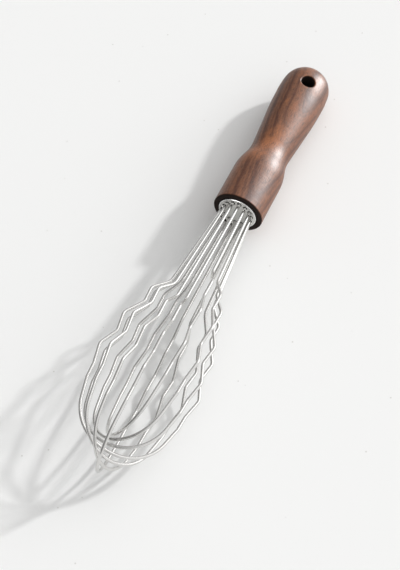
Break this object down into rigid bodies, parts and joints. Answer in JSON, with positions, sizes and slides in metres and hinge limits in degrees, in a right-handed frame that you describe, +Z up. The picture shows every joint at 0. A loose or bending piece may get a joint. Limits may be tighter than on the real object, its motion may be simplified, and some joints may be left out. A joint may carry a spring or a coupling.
{
  "type": "balloon whisk",
  "caption": "Balloon whisk with a turned walnut handle, a hanging hole, a steel ferrule and a cage of nested zigzag wire loops, lying on its side.",
  "frame": {"origin": "on the table, under the middle of the whisk's box, as it lies at rest", "axes": "+Z up from the table, +Y towards the handle's end, -Y towards the loops' tips; the whisk's own axis rises by about 3 degrees towards the tips"},
  "size_m": [0.0626, 0.3144, 0.0578],
  "materials": {
    "walnut": "oiled satin walnut",
    "steel": "bright polished stainless steel",
    "resin": "dark matt potting resin"
  },
  "bodies": {
    "root": {"handle": "walnut", "ferrule": "steel", "wire_plate": "steel", "resin_fill": "resin", "wire_loop_1": "steel", "wire_loop_2": "steel", "wire_loop_3": "steel", "wire_loop_4": "steel", "wire_loop_5": "steel", "wire_loop_6": "steel", "wire_loop_7": "steel"}
  },
  "joints": []
}
